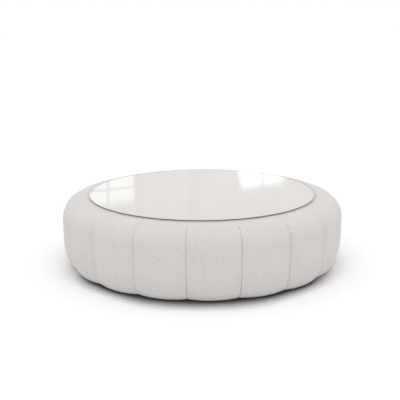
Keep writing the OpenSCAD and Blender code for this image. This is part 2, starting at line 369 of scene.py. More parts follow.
def makeGlass():
    # Clear glass with smears of slow noise. Light for shadows and soft light passes straight through.
    look = glassLook
    finish = newFinish("glassSheet")
    smear = finish.remap(finish.noise(finish.place(), 5.0, 3.0), 0.45, 0.75, 0.0, look["smear"])
    clear = finish.principled(Base_Color=(*look["tint"], 1), Roughness=smear, IOR=look["index"],
                              Transmission_Weight=1.0, Specular_IOR_Level=0.5)
    through = finish.node("ShaderNodeBsdfTransparent", None, {0: (*look["shadowTint"], 1)})
    passing = finish.rays("Shadow", "Diffuse")
    return finish.output(finish.node("ShaderNodeMixShader", None, {0: passing, 1: clear, 2: through}))


def makeGlassEdge():
    # The edge's colour, lighter and darker by slow noise, with upright grinding marks of fine noise.
    look = glassLook
    finish = newFinish("glassEdge")
    place = finish.place()
    grind = finish.noise(finish.stretch(place, (1.0, 1.0, 0.1)), 900.0, 2.0)
    depth = finish.spread(finish.noise(place, 14.0, 2.0), 0.92, 1.08)
    return finish.surface(Base_Color=finish.shaded(look["edgeColour"], depth), IOR=look["index"],
                          Roughness=finish.spread(grind, *look["edgeRoughness"]),
                          Normal=finish.bump(grind, 0.00002, 0.4))


def makeClearPad():
    # See-through silicone with a haze of noise.
    look = glassLook
    finish = newFinish("clearSilicone")
    haze = finish.noise(finish.place(), 300.0, 2.0)
    return finish.surface(Base_Color=(*look["padColour"], 1), IOR=look["padIndex"],
                          Roughness=finish.spread(haze, *look["padRoughness"]),
                          Alpha=finish.spread(haze, *look["padCover"]))


# Fillings and hidden cloths

fillingLook = dict(
    # painted shade: the first wadding colour darkens the hollows
    wadding=((0.80, 0.79, 0.77), (0.90, 0.895, 0.88)),                    # hollows and tufts
    # painted shade: the pore colour darkens the sunk pores; the pale patches are the foam's own tone
    foam=((0.86, 0.80, 0.60), (0.62, 0.56, 0.38), (0.93, 0.88, 0.70)),    # walls, pores and pale patches
    backing=(0.84, 0.82, 0.76),
    backingYarn=0.0011,
    # painted shade: darker between the backing's yarns, lighter on them
    paintedBackingShade=(0.86, 1.02),
    # painted shade: the first colour darkens the gaps between the fibres
    darkCloth=((0.012, 0.012, 0.013), (0.045, 0.045, 0.048)),             # between the fibres and on them
    dotTurns=1570.0,        # radians in a metre: pressed dots 2 mm apart
)


def makeWadding():
    # Two colours blended by clumps of noise, the darker one in the hollows that the bump sinks, a painted
    # shade, with hairs of a noise drawn out sideways.
    finish = newFinish("whiteWadding")
    place = finish.place()
    clump = finish.noise(place, 70.0, 4.0, 0.7)
    hair = finish.noise(finish.stretch(place, (1.0, 1.0, 4.0)), 900.0, 2.0)
    return finish.surface(Base_Color=finish.blendColours(finish.spread(clump), *fillingLook["wadding"]),
                          Roughness=0.95, Specular_IOR_Level=0.2,
                          Normal=finish.bump(clump + 0.4 * hair, 0.0012, 0.8))


def makeFoam():
    # Open cells: walls where the distance from scattered points is small, pores where it is large, sunk and
    # darker with a painted shade.
    wall, pore, pale = fillingLook["foam"]
    finish = newFinish("creamFoam")
    place = finish.place()
    pores = finish.remap(finish.cells(place, 900.0), 0.15, 0.55)
    patch = finish.remap(finish.noise(place, 12.0, 2.0), 0.3, 0.8, 0.0, 0.25)
    colour = finish.blendColours(patch, finish.blendColours(pores, wall, pore), pale)
    return finish.surface(Base_Color=colour, Roughness=0.95, Specular_IOR_Level=0.2,
                          Normal=finish.bump(1.0 - pores, 0.0006, 0.8))


def makeBackingCloth():
    # The same weave as the cloth's, finer and with slow noise, and a painted shade between the yarns.
    look = fillingLook
    finish = newFinish("cottonBacking")
    height, shift = weaveOf(finish, finish.place("UV"), look["backingYarn"])
    tone = finish.remap(height, *weaveForm["heights"], *look["paintedBackingShade"])
    tone = tone + (finish.noise(shift, 60.0, 2.0) - 0.5) * 0.1
    return finish.surface(Base_Color=finish.shaded(look["backing"], tone), Roughness=0.93,
                          Specular_IOR_Level=0.2, Normal=finish.bump(height, 0.0001, 0.8))


def makeDarkCloth():
    # Bonded fibres of fine noise, darker where they sink, a painted shade between the fibres, with a grid of
    # small pressed dots: the product of a sine each way.
    look = fillingLook
    finish = newFinish("blackNonWoven")
    place = finish.place()
    x, y, _ = finish.split(place)
    dots = finish.maths("SINE", x * look["dotTurns"]) * finish.maths("SINE", y * look["dotTurns"])
    pressed = finish.remap(dots, 0.35, 0.6)
    fibre = finish.noise(place, 1400.0, 3.0, 0.7)
    return finish.surface(Base_Color=finish.blendColours(finish.spread(fibre), *look["darkCloth"]),
                          Roughness=finish.remap(pressed, 0, 1, 0.92, 0.6),
                          Normal=finish.bump(fibre * 0.5 - pressed, 0.00025, 0.8))


# Woods, metal and plastic

woodLook = dict(
    pith=(0.11, -0.07),     # where the rings have their middle, seen along the grain
    alongGrain=0.08,        # how far patterns are drawn out along the grain: the lower, the longer
    ringWander=9.0,
    timber=((0.72, 0.54, 0.33), (0.52, 0.33, 0.16)),       # early and late wood
    timberPale=(0.80, 0.64, 0.43),
    knot=(0.22, 0.11, 0.05),
    veneer=((0.74, 0.59, 0.40), (0.62, 0.45, 0.27)),
    veneerPale=(0.82, 0.68, 0.48),
    plies=((0.66, 0.49, 0.30), (0.42, 0.27, 0.15)),
    ply=0.0016,             # thickness of one ply
    hardboard=((0.20, 0.11, 0.055), (0.33, 0.20, 0.11)),
    chip=(0.42, 0.28, 0.16),
)
hardwareLook = dict(
    zinc=((0.62, 0.60, 0.55), (0.78, 0.74, 0.60)),         # bare and with a yellow bloom
    nylon=((0.018, 0.018, 0.019), (0.09, 0.088, 0.085)),   # moulded and worn
    wornTo=0.0012,          # height up to which the glides are worn
)


def grainOf(finish, place, axis, rings):
    # Rings round a long axis, bent by slow noise: the sine of the distance from a far pith.
    look = woodLook
    factors = [1.0, 1.0, 1.0]
    factors[axis] = look["alongGrain"]
    flow = finish.stretch(place, tuple(factors))
    swirl = finish.noise(flow, 7.0, 2.0)
    a, b = [part for k, part in enumerate(finish.split(flow)) if k != axis]
    distance = finish.maths("SQRT", (a + look["pith"][0]) ** 2.0 + (b + look["pith"][1]) ** 2.0)
    return finish.maths("SINE", distance * rings + swirl * look["ringWander"]) * 0.5 + 0.5, flow


def makeTimber(name, axis):
    # Early and late wood blended by the rings, with pale fibres and a few knots round scattered points.
    look = woodLook
    finish = newFinish(name)
    place = finish.place()
    ring, flow = grainOf(finish, place, axis, 900.0)
    fibre = finish.noise(flow, 900.0, 3.0, 0.6)
    knot = finish.remap(finish.cells(place, 5.0), 0.0, 0.10, 1.0, 0.0)
    colour = finish.blendColours(ring ** 2.5, *look["timber"])
    colour = finish.blendColours(finish.remap(fibre, 0.35, 0.7, 0.0, 0.3), colour, look["timberPale"])
    colour = finish.blendColours(knot * 0.7, colour, look["knot"])
    return finish.surface(Base_Color=colour, Roughness=finish.remap(ring, 0, 1, 0.62, 0.5),
                          Normal=finish.bump(fibre + 0.5 * ring, 0.0001, 0.5))


def makePlywood():
    # Faces show rotary-cut veneer; the edge shows plies, light and dark by the sine of the height.
    look = woodLook
    finish = newFinish("birchPly")
    place = finish.place()
    ring, flow = grainOf(finish, place, 0, 260.0)
    fibre = finish.noise(flow, 700.0, 3.0, 0.6)
    plies = finish.maths("SINE", finish.split(place)[2] * (math.pi / look["ply"])) > 0.0
    upright = finish.split(finish.node("ShaderNodeNewGeometry", output=1))[2]
    face = abs(upright) > 0.5
    veneer = finish.blendColours(finish.remap(ring, 0.3, 1.0), *look["veneer"])
    colour = finish.blendColours(face, finish.blendColours(plies, *look["plies"]), veneer)
    colour = finish.blendColours(finish.remap(fibre, 0.4, 0.75, 0.0, 0.35), colour, look["veneerPale"])
    return finish.surface(Base_Color=colour, Roughness=finish.spread(fibre, 0.5, 0.66),
                          Normal=finish.bump(fibre + plies * (1.0 - face), 0.00012, 0.6))


def makeHardboard():
    # Two browns blended by fibres of noise, with pale chips where a slower noise is high.
    look = woodLook
    finish = newFinish("bentHardboard")
    place = finish.place()
    fibre = finish.noise(place, 500.0, 4.0, 0.7)
    chips = finish.noise(place, 60.0, 3.0)
    colour = finish.blendColours(finish.spread(fibre), *look["hardboard"])
    colour = finish.blendColours(finish.remap(chips, 0.5, 0.8, 0.0, 0.4), colour, look["chip"])
    return finish.surface(Base_Color=colour, Roughness=finish.spread(chips, 0.38, 0.55),
                          Normal=finish.bump(fibre, 0.00012, 0.6))


def makeZinc():
    # Zinc with a bloom of noise, and fine marks drawn out upwards.
    finish = newFinish("zincScrews")
    place = finish.place()
    bloom = finish.noise(place, 260.0, 3.0)
    drawn = finish.noise(finish.stretch(place, (1.0, 1.0, 0.1)), 2400.0, 2.0)
    colour = finish.blendColours(finish.remap(bloom, 0.35, 0.7), *hardwareLook["zinc"])
    return finish.surface(Base_Color=colour, Metallic=1.0, Roughness=finish.spread(bloom, 0.28, 0.5),
                          Normal=finish.bump(drawn, 0.00003, 0.5))


def makeNylon():
    # Moulded grain of noise, worn pale in patches where the height is less than a millimetre or so.
    look = hardwareLook
    finish = newFinish("blackNylon")
    place = finish.place()
    grain = finish.noise(place, 1100.0, 2.0)
    low = finish.remap(finish.split(place)[2], 0.0, look["wornTo"], 1.0, 0.0)
    worn = low * finish.remap(finish.noise(place, 90.0, 3.0), 0.4, 0.7)
    return finish.surface(Base_Color=finish.blendColours(worn * 0.6, *look["nylon"]),
                          Roughness=finish.remap(grain + worn, 0.3, 1.4, 0.36, 0.6),
                          Normal=finish.bump(grain, 0.00004, 0.5))


cloth, glass, glassEdge, clearPad = makeCloth(), makeGlass(), makeGlassEdge(), makeClearPad()
wadding, foam, backing, darkCloth = makeWadding(), makeFoam(), makeBackingCloth(), makeDarkCloth()
plywood, hardboard, zinc, nylon = makePlywood(), makeHardboard(), makeZinc(), makeNylon()
timberX, timberY = makeTimber("timberAlongX", 0), makeTimber("timberAlongY", 1)
timberZ = makeTimber("timberUpright", 2)
print("finishes made")


# Channels: padded tubes of cloth, sewn side by side and stapled under the base and the deck panel

channelForm = dict(
    count=18,
    firstSeam=-5.75,      # degrees from straight ahead
    outer=0.600,          # radius over the crests
    seamDepth=0.012,
    air=0.0003,           # from the drum and the boards to the cloth; twice as much from the deck panel
    seamGap=0.00005,      # from the cloth to the seam's middle plane
    tuckLeft=0.0031,      # radius with which the cloth turns into its left seam, where the allowance lies
    turnLeft=80.0,        # how far it turns, in degrees
    tuckRight=0.0095,
    turnRight=44.0,
    tuckMost=0.35,        # the largest such radius, as a share of the padding's thickness
    crownTuck=0.30,       # share of both radii that is left at the crown, where the groove runs out
    crownDepth=0.40,      # share of the seam's depth that is left there
    footIn=0.0400,        # how far the foot draws in
    footRise=0.116,
    floorGap=0.004,
    crownRise=0.096,
    crownDrop=0.002,      # from the glass down to the top of the crown
    crownSquare=2.85,     # power of the crown's curve, where 2 is an ellipse
    crownInset=0.015,
    lipRound=0.006,       # roll of the cloth down the side of the deck panel
    tailRound=0.001,      # its bend in under that panel
    endThickness=0.002,   # cloth and filling pressed flat at the stapled ends
    hemWidth=0.040,
    tailWidth=0.028,
    drumLevels=(0.085, 0.180),   # heights on the drum behind the ends of the upright side
    weaveShift=(0.37, 0.11),     # from one channel's piece of cloth to the next
    # How hard each seam is drawn in by hand, from the first one round
    pulls=(0.75, 0.95, 1.10, 1.0, 0.9, 1.05, 0.95, 1.1, 0.85,
           1.0, 1.05, 0.9, 1.0, 0.95, 1.1, 0.9, 1.0, 0.70),
)
# Rows along each stretch of the section, columns round it, and the share of those in front that is turned in
channelGrid = dict(hem=8, foot=36, wall=19, crown=60, lip=8, tail=7,
                   across=65, side=5, back=9, tuckShare=0.14)


def channelLines():
    # The crest's section from the hem to the tail, and the line on the drum that lies behind each of its
    # points. The foot is a quarter of an ellipse and the crown a quarter of a superellipse.
    form, steps = channelForm, channelGrid
    glassLow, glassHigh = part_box("glass_top")
    air, outer, lip, tailRound = form["air"], form["outer"], form["lipRound"], form["tailRound"]
    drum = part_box("backing_cloth")[1].x + air
    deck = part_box("deck_cover")[1].x + 2 * air
    baseZ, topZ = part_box("base_board")[0].z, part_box("top_board")[1].z
    hemZ, tailZ = baseZ - form["endThickness"], topZ + form["endThickness"] - air
    hemR, tailR = drum - form["hemWidth"], deck - form["tailWidth"]
    heel = outer - form["footIn"]
    crownTop = glassLow.z - form["crownDrop"]
    crownR = glassHigh.x - form["crownInset"]
    footTop = form["floorGap"] + form["footRise"]
    hem = np.array([[hemR, hemZ], [heel - (hemZ - form["floorGap"]), hemZ], [heel, form["floorGap"]]])
    foot = bend((heel, footTop), (form["footIn"], form["footRise"]), -90, 0, 60)
    wall = np.array([[outer, footTop], [outer, crownTop - form["crownRise"]]])
    turn = np.linspace(0, math.pi / 2, 400)
    power = 2 / form["crownSquare"]
    crown = np.stack([crownR + (outer - crownR) * np.cos(turn) ** power,
                      crownTop - form["crownRise"] * (1 - np.sin(turn) ** power)], 1)
    crown = crown[crown[:, 0] >= deck + lip]
    bendR = deck - tailRound
    roll = np.concatenate([bend((deck + lip, crown[-1, 1] - lip), (lip, lip), 90, 180, 10),
                           bend((bendR, tailZ + tailRound), (tailRound, tailRound), 0, -90, 4)])
    tail = np.array([[bendR, tailZ], [tailR, tailZ]])
    low, high = baseZ - air / 2, topZ + air
    drumLow, drumHigh = form["drumLevels"]
    behind = [(hemR, low), (drum, low), (drum, drumLow), (drum, drumHigh), (deck + lip, high), (bendR, high),
              (tailR, high)]
    parts = [(hem, steps["hem"]), (foot, steps["foot"]), (wall, steps["wall"]), (crown, steps["crown"]),
             (roll, steps["lip"]), (tail, steps["tail"])]
    front = [evenly(line, count + 1)[:-1] for line, count in parts] + [tail[-1:]]
    back = []
    for (line, count), start, end in zip(parts, behind, behind[1:]):
        corner = [(drum, high)] if line is crown else []
        back.append(evenly(np.array([start, *corner, end]), count + 1)[:-1])
    return np.concatenate(front), np.concatenate([*back, [behind[-1]]])


def channelGridPoints(leftPull=1.0, rightPull=1.0):
    # Every point of one channel that faces +X, as rows along its length and columns round it. Across the
    # front a column is an angle about the channel's own axis, up to the seam's plane, with the last stretch
    # turned in along part of a circle. Behind it come a side wall in the seam's plane, the back on the drum,
    # and the other side wall. Towards the crown the seams get shallower and their turned edges tighter.
    # Gives the front before and after its edges are turned in, the rest, and half of a channel's angle.
    form, steps = channelForm, channelGrid
    front, back = channelLines()
    half = math.pi / form["count"]
    rise = np.clip((front[:, 1:] - front[:, 1].max() + form["crownRise"]) / form["crownRise"], 0, 1)
    rise[:np.argmax(front[:, 0])] = 0
    rise = np.maximum.accumulate(rise)
    seamR = form["outer"] - form["seamDepth"] * (1 - (1 - form["crownDepth"]) * rise ** 1.5)
    chord, bulge = seamR * math.sin(half), form["outer"] - seamR * math.cos(half)
    axis = form["outer"] - (chord ** 2 + bulge ** 2) / (2 * bulge)
    direction = np.gradient(front, axis=0)
    direction /= np.linalg.norm(direction, axis=1, keepdims=True)
    normal = np.stack([direction[:, 1], -direction[:, 0]], 1)
    thick = np.linalg.norm(front - back, axis=1)[:, None]
    fade = 1 - (1 - form["crownTuck"]) * rise ** 3
    own = front[:, :1] - axis
    last = half + np.arcsin((axis * math.sin(half) - form["seamGap"]) / own)
    q = np.linspace(-1, 1, steps["across"])[None, :]
    pulled = np.where(q < 0, form["tuckLeft"] * leftPull, form["tuckRight"] * rightPull)
    tuck = np.minimum(pulled * fade, form["tuckMost"] * thick)
    most = np.radians(np.where(q < 0, form["turnLeft"], form["turnRight"]))

    def across(tuck, share):
        turned = np.clip((np.abs(q) - share) / max(1 - share, 1e-9), 0, 1) * most
        flat = np.clip(np.abs(q) / share, 0, 1)
        angle = np.sign(q) * (flat * (last - tuck * np.sin(most) / own) + tuck * np.sin(turned) / own)
        sunk = tuck * (1 - np.cos(turned))
        x, y = axis + own * np.cos(angle), own * np.sin(angle)
        shrink = 1 - sunk * normal[:, :1] / np.hypot(x, y)
        return np.stack([x * shrink, y * shrink, front[:, 1:] - sunk * normal[:, 1:]], -1)
    plain, panel = across(0 * tuck, 1.0), across(tuck, 1 - steps["tuckShare"])
    edge = half - form["seamGap"] / back[:, :1]
    sweep = np.linspace(1, -1, steps["back"])[None, :] * edge
    rear = np.stack([back[:, :1] * np.cos(sweep), back[:, :1] * np.sin(sweep), back[:, 1:] + 0 * sweep], -1)
    step = np.linspace(0, 1, steps["side"] + 2)[1:-1][None, :, None]
    right = panel[:, -1:] * (1 - step) + rear[:, :1] * step
    left = rear[:, -1:] * (1 - step) + panel[:, :1] * step
    return plain, panel, np.concatenate([right, rear, left], 1), half


def turnGrid(points, angle):
    # Points turned about the upright axis; the angle counts from straight ahead for what faces +X.
    cosine, sine = math.cos(angle - math.pi / 2), math.sin(angle - math.pi / 2)
    x, y = points[..., 0], points[..., 1]
    return np.stack([x * cosine - y * sine, x * sine + y * cosine, points[..., 2]], -1)


swellForm = dict(
    variants=3,
    slack=0.006,          # how much larger the cloth is cut than the space that it is sewn into
    slackEdges=0.030,     # the same along the seams and at the crown and the foot, where it narrows
    widest=0.46,          # where the channel is widest, as a share of its length
    startInset=0.0055,    # how much slimmer the filling is before it swells
    pressure=500.0,
    stretchStiffness=30,
    shearStiffness=10,
    bending=1.0,
    damping=10,
    airDamping=3,
    mass=0.05,
    quality=8,
    frames=20,
    cap=0.008,            # the furthest that a point may move
    uneven=0.0004,        # lumps in the filling that start the puckers
    lumpSpan=6,           # grid steps from one lump to the next
    crestSpan=5,          # grid steps each way over which the crest line is averaged
    calm=(0.494, 0.550),  # radii between which the crown calms down towards the glass
)


def lumpy(rows, cols, seed):
    # Random heights on a coarse grid, blended in straight lines between its points.
    span = swellForm["lumpSpan"]
    lumps = np.random.default_rng(seed).normal(size=(rows // span + 2, cols // span + 2))
    rowAt, colAt = np.arange(rows) / span, np.arange(cols) / span
    rowTicks, colTicks = np.arange(lumps.shape[0]), np.arange(lumps.shape[1])
    rough = np.stack([np.interp(rowAt, rowTicks, lumps[:, k]) for k in colTicks], 1)
    return np.stack([np.interp(colAt, colTicks, rough[r]) for r in range(rows)])


def swell(panel, seed):
    # The front of a channel as cloth over its filling: sewn down at both seams and both ends, cut a little
    # too large, and blown up from inside. Gives how far each point moves, less what the whole crest moves.
    form, steps = swellForm, channelGrid
    rows, cols = panel.shape[:2]
    outward = np.cross(np.gradient(panel, axis=1), np.gradient(panel, axis=0))
    outward /= np.linalg.norm(outward, axis=2, keepdims=True) + 1e-12
    outward *= np.sign(outward[rows // 2, cols // 2, 0])
    inner = np.ones((rows, cols))
    inner[:, :1] = inner[:, -1:] = 0
    inner[:steps["hem"] + 2] = inner[-steps["tail"] - 4:] = 0
    run, q = np.linspace(0, 1, rows)[:, None], np.linspace(-1, 1, cols)[None, :]
    slim = np.sin(math.pi * run) ** 0.5 * (1 - q ** 2) * form["startInset"]
    start = panel + outward * ((lumpy(rows, cols, seed) * form["uneven"] - slim) * inner)[..., None]
    piece = joinGrid("swelling", start)
    pins = piece.vertex_groups.new(name="sewn")
    pins.add(np.flatnonzero(inner.ravel() == 0).tolist(), 1.0, "REPLACE")
    edges = piece.vertex_groups.new(name="edges")
    ends = np.clip(np.abs(run - form["widest"]) / form["widest"], 0, 1) ** 2
    share = np.maximum(ends, np.abs(q) ** 6).ravel()
    for level in np.linspace(0.1, 1.0, 10):
        edges.add(np.flatnonzero(np.abs(share - level) <= 0.05).tolist(), float(level), "REPLACE")
    modifier = piece.modifiers.new("cloth", "CLOTH")
    settings = modifier.settings
    settings.quality = form["quality"]
    settings.mass = form["mass"]
    settings.tension_stiffness = settings.compression_stiffness = form["stretchStiffness"]
    settings.shear_stiffness = form["shearStiffness"]
    settings.bending_stiffness = form["bending"]
    settings.tension_damping = settings.compression_damping = form["damping"]
    settings.air_damping = form["airDamping"]
    settings.vertex_group_mass = "sewn"
    settings.vertex_group_shrink = "edges"
    settings.shrink_min, settings.shrink_max = -form["slack"], -form["slackEdges"]
    settings.use_pressure = True
    settings.uniform_pressure_force = form["pressure"]
    settings.effector_weights.gravity = 0
    modifier.collision_settings.use_collision = False
    modifier.point_cache.frame_start, modifier.point_cache.frame_end = 1, form["frames"]
    scene = bpy.context.scene
    for frameNumber in range(1, form["frames"] + 1):
        scene.frame_set(frameNumber)
    after = piece.evaluated_get(bpy.context.evaluated_depsgraph_get())
    points = np.empty(rows * cols * 3, np.float32)
    after.data.vertices.foreach_get("co", points)
    bpy.data.objects.remove(piece)
    scene.frame_set(1)
    moved = points.reshape(rows, cols, 3).astype(float) - panel
    span = form["crestSpan"]
    crest = (moved * outward).sum(2)[:, cols // 4:-(cols // 4)].mean(1)
    even = np.ones(2 * span + 1) / (2 * span + 1)
    crest = np.convolve(np.pad(crest, span, mode="edge"), even, mode="valid")
    moved = moved - outward * (crest[:, None] * (1 - q ** 4))[..., None]
    length = np.linalg.norm(moved, axis=2, keepdims=True) + 1e-12
    low, high = form["calm"]
    reach = np.hypot(panel[..., 0], panel[..., 1])[..., None]
    share = np.clip((reach - low) / (high - low), 0, 1)
    share[:rows // 2] = 1
    return moved * np.minimum(1, form["cap"] / length) * share ** 2 * (3 - 2 * share)


def betweenSeams(points, half):
    # The same points, kept on their own side of the seams' planes.
    radius, angle = np.hypot(points[..., 0], points[..., 1]), np.arctan2(points[..., 1], points[..., 0])
    most = half - channelForm["seamGap"] / radius
    angle = np.clip(angle, -most, most)
    return np.stack([radius * np.cos(angle), radius * np.sin(angle), points[..., 2]], -1)


def makeChannels():
    # Each channel is the same grid with its own two pulls and one of the swellings, turned to its place. The
    # map runs across from the crest and along from the hem, in metres.
    form = channelForm
    plain, panel, rest, half = channelGridPoints()
    moves = [0 * plain]
    moves = [swell(plain, seed + 1) for seed in range(swellForm["variants"])]
    print("cloth swollen,", len(moves), "variants")
    whole = np.concatenate([panel, rest], 1)
    closed = np.concatenate([whole, whole[:, :1]], 1)
    acrossRun = np.cumsum(np.linalg.norm(np.diff(closed, axis=1), axis=2), axis=1)
    acrossRun = np.concatenate([np.zeros((len(whole), 1)), acrossRun], 1)
    middle = panel.shape[1] // 2
    acrossRun = acrossRun - acrossRun[:, middle:middle + 1]
    alongRun = runOf(panel[:, middle])[:, None] + 0 * acrossRun
    uv = np.stack([acrossRun, alongRun], -1)
    uv = np.concatenate([uv, uv[-1:]])
    first, pulls, shift = math.radians(form["firstSeam"]), form["pulls"], np.array(form["weaveShift"])
    for k in range(form["count"]):
        name = f"channel_{k + 1:02d}"
        _, panel, rest, half = channelGridPoints(pulls[k], pulls[(k + 1) % form["count"]])
        front = betweenSeams(panel + moves[k % len(moves)], half)
        points = turnGrid(np.concatenate([front, rest], 1), first + (2 * k + 1) * half)
        piece = joinGrid(f"channelCloth{k + 1:02d}", points, uv=uv + shift * k, closeCols=True, capRows=True)
        dress(piece, cloth, "table", "cloth", name)


makeChannels()
print("channels made")


# Deck panel: cloth over wadding, turned in under its edge

deckForm = dict(
    clothThickness=0.0013,
    edgeRound=0.0075,
    turnIn=0.028,
    foldRound=0.0016,          # where the cloth turns in under the panel
    skirtFoot=0.003,           # height at which it begins to
    rings=(0, 0.20, 0.35, 0.44),   # radii of the rings of points on top of the cover
    padRings=(0, 0.2, 0.4),    # the same on the wadding
)


def makeDeck():
    # Both are profiles carried round: the cover's line out along the top, round a quarter circle, down and
    # in, with the same line drawn in by the thickness; and the wadding's top, quarter circle and underside.
    form = deckForm
    low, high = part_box("deck_cover")
    thick, outer = form["clothThickness"], high.x
    edge, fold = form["edgeRound"], form["foldRound"]
    inner = outer - form["turnIn"]

    def shell(inset):
        # The cover's own line drawn in by inset: top, rounded edge, skirt and turn-in.
        radius = edge - inset
        return np.concatenate([
            [[ring, high.z - inset] for ring in form["rings"]],
            bend((outer - edge, high.z - edge), (radius, radius), 90, 0, 14),
            [[outer - inset, low.z + form["skirtFoot"]]],
            bend((outer - inset - fold, low.z + inset + fold), (fold, fold), 0, -90, 5),
            [[inner, low.z + inset]]])
    profile = np.concatenate([shell(0), shell(thick)[::-1]])
    cover = spin("deckCover", profile, 300)
    dress(cover, cloth, "table", "cloth", "deck_cover")
    span = outer - edge + edge * math.pi / 2 + (high.z - edge - low.z) + form["turnIn"]
    2 * span
    2 * span
    math.pi * (outer ** 2) + 2 * math.pi * outer * (high.z - low.z + form["turnIn"]) * 0.98
    low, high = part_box("deck_pad")
    edge = high.z - low.z
    profile = np.concatenate([[[ring, high.z] for ring in form["padRings"]],
                              bend((high.x - edge, low.z), (edge, edge), 90, 0, 9), [[0, low.z]]])
    pad = spin("deckWadding", profile, 180)
    dress(pad, wadding, "table", "wadding", "deck_pad")


makeDeck()
print("deck panel covered")


# Glass and its clear pads

glassForm = dict(
    arris=0.0008,
    rim=0.02,              # width of the outermost ring of faces inside the arris
    segments=540,
    padCount=8,
    padInset=0.045,
    padDome=(0.0035, 0.0012),   # width and height of the rounding round a pad's foot
)


def makeGlassPieces():
    # The sheet is a rectangle with cut corners carried round, and each pad a disc with a rounded foot.
    form = glassForm
    low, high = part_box("glass_top")
    arris, radius = form["arris"], high.x
    ring = radius - form["rim"]
    profile = np.array([
        [0, low.z], [ring, low.z], [radius - arris, low.z], [radius, low.z + arris],
        [radius, high.z - arris], [radius - arris, high.z], [ring, high.z], [0, high.z]])
    sheet = spin("glassDisc", profile, form["segments"])
    sheet.data.set_sharp_from_angle(angle=math.radians(30))
    dress(sheet, glass, "glass", "glass", "glass_top")
    sheet.data.materials.append(glassEdge)
    centres = np.empty(len(sheet.data.polygons) * 3, np.float32)
    sheet.data.polygons.foreach_get("center", centres)
    reach = np.hypot(centres[0::3], centres[1::3])
    sheet.data.polygons.foreach_set("material_index", (reach > radius - arris).astype(np.int32))
    low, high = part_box("glass_bumpers")
    place = radius - form["padInset"]
    size, (width, height) = high.x - place, form["padDome"]
    dome = np.concatenate([[[0, low.z]], bend((size - width, low.z + height), (width, height), -90, 0, 6),
                           [[size, high.z], [0, high.z]]])
    pads = []
    for k in range(form["padCount"]):
        angle = 2 * math.pi * k / form["padCount"]
        pads.append(spin(f"padPart{k}", dome, 32, (place * math.sin(angle), -place * math.cos(angle))))
    pieces = joinPieces("clearPads", pads)
    dress(pieces, clearPad, "glass", "clear_pad", "glass_bumpers")


makeGlassPieces()
print("glass made")


# Layers round the drum, and the dark cloth under the base with its staples

wrapForm = dict(foamThickness=0.012, foamRound=0.003, clothThickness=0.0007)
undersideForm = dict(
    thickness=0.0007,
    packedThickness=0.0008,   # thickness of the node that it stands for
    hemLine=0.489,            # radius where the dark cloth steps down over the hems of the channels
    stepIn=0.004,             # how far within that line the step begins
    stepOut=0.001,            # how far beyond it the step ends
    air=0.0001,               # to what lies above
)
stapleForm = dict(count=72, width=0.010, wire=0.0007, flat=0.0012, leg=0.0016, corner=0.0006, inset=0.005)


def makeWraps():
    # Upright profiles carried round the drum: the foam's has two rounded corners, the cloth's is plain.
    form = wrapForm
    low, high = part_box("foam_wrap")
    outer, soft = high.x, form["foamRound"]
    inner = outer - form["foamThickness"]
    profile = np.concatenate([
        bend((outer - soft, low.z + soft), (soft, soft), -90, 0, 5),
        bend((outer - soft, high.z - soft), (soft, soft), 0, 90, 5),
        [[inner, high.z], [inner, low.z]]])
    wrap = spin("foamWrap", profile, 240, closed=True)
    dress(wrap, foam, "table", "foam", "foam_wrap")
    low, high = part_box("backing_cloth")
    outer = high.x
    inner = outer - form["clothThickness"]
    profile = np.array([[outer, low.z], [outer, high.z], [inner, high.z], [inner, low.z]])
    wrap = spin("backingCloth", profile, 240, closed=True)
    dress(wrap, backing, "table", "wadding", "backing_cloth")


def makeUnderside():
    # A flat disc with a step down near its rim, carried round, and the same line again below it.
    form = undersideForm
    low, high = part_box("dust_cover")
    step, top, below = form["hemLine"], high.z, low.z + form["packedThickness"]

    def line(drop):
        return np.array([[0, top - drop], [step - form["stepIn"], top - drop],
                         [step + form["stepOut"], below - drop], [high.x, below - drop]])
    profile = np.concatenate([line(form["air"]), line(form["thickness"])[::-1]])
    cover = spin("dustCover", profile, 240)
    dress(cover, darkCloth, "table", "dark_cloth", "dust_cover")


def makeStaples():
    # Flat wire along a line with two rounded corners: a leg up, a crown across and a leg up. A section is a
    # rectangle square to the line, and each staple lies along the rim of the dark cloth.
    form = stapleForm
    low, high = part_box("dust_cover")
    half, corner, leg, wire = form["width"] / 2, form["corner"], form["leg"], form["wire"]
    line = np.concatenate([[[-half, leg]], bend((corner - half, corner), (corner, corner), 180, 270, 4),
                           bend((half - corner, corner), (corner, corner), -90, 0, 4), [[half, leg]]])
    along = np.gradient(line, axis=0)
    along /= np.linalg.norm(along, axis=1, keepdims=True)
    square = np.stack([along[:, 1], -along[:, 0]], 1)
    parts = []
    for k in range(form["count"]):
        turn = 2 * math.pi * (k + 0.5) / form["count"]
        outward = np.array([math.cos(turn), math.sin(turn)])
        sideways = np.array([-math.sin(turn), math.cos(turn)])
        rings = []
        for off, rise in ((-1, -1), (1, -1), (1, 1), (-1, 1)):
            edge = line + square * (rise * wire / 2)
            reach = high.x - form["inset"] + off * form["flat"] / 2
            flat = (outward * reach)[None, :] + edge[:, :1] * sideways
            rings.append(np.concatenate([flat, low.z - wire / 2 + edge[:, 1:]], 1))
        parts.append(joinGrid(f"staplePart{k}", np.stack(rings, 1), closeCols=True, capRows=True))
    staples = tidyMesh(joinPieces("coverStaples", parts))
    staples.data.set_sharp_from_angle(angle=math.radians(40))
    dress(staples, zinc, "table", "screw_steel")


makeWraps()
makeUnderside()
makeStaples()
print("inner layers made")


